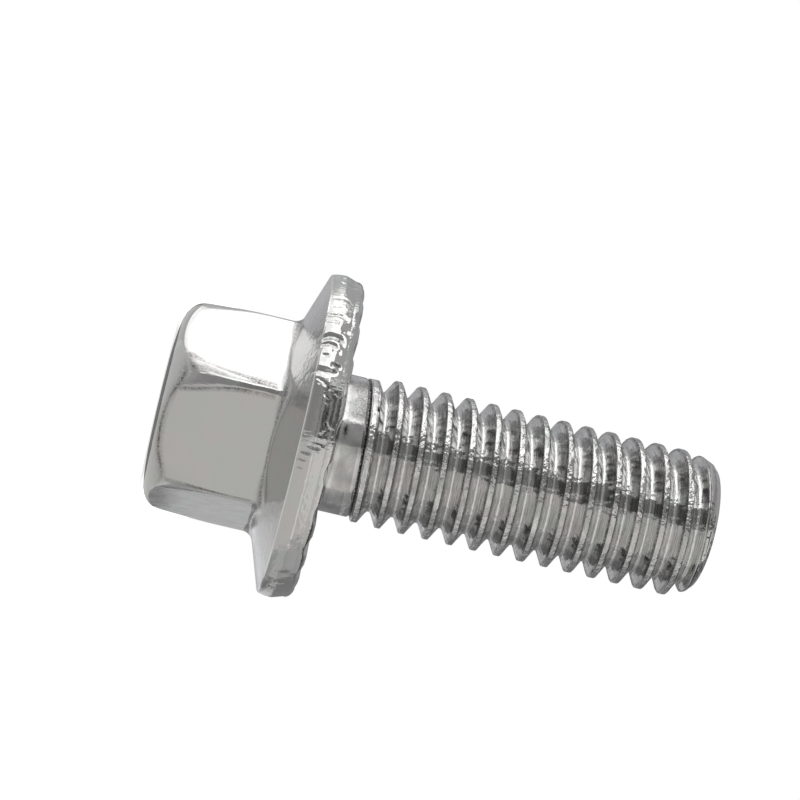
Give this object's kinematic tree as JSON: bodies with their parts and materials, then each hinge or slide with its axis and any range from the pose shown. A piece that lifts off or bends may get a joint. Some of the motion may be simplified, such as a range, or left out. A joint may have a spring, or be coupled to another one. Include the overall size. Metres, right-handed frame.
{
  "type": "flange bolt",
  "caption": "Hexagon bolt with a conical flange, a serrated bearing face and a fully threaded metric shank, bright plated.",
  "frame": {"origin": "centre of the flat end face of the head, which the bolt stands on", "axes": "+Z along the bolt's axis, from the head to the tip of the thread; two corners of the hexagon lie on the X axis"},
  "size_m": [0.0132, 0.0132, 0.0227],
  "materials": {
    "plated_steel": "bright plated, marked by forging on the rim and by rolling on the thread"
  },
  "bodies": {
    "root": {"flange_bolt": "plated_steel"}
  },
  "joints": []
}
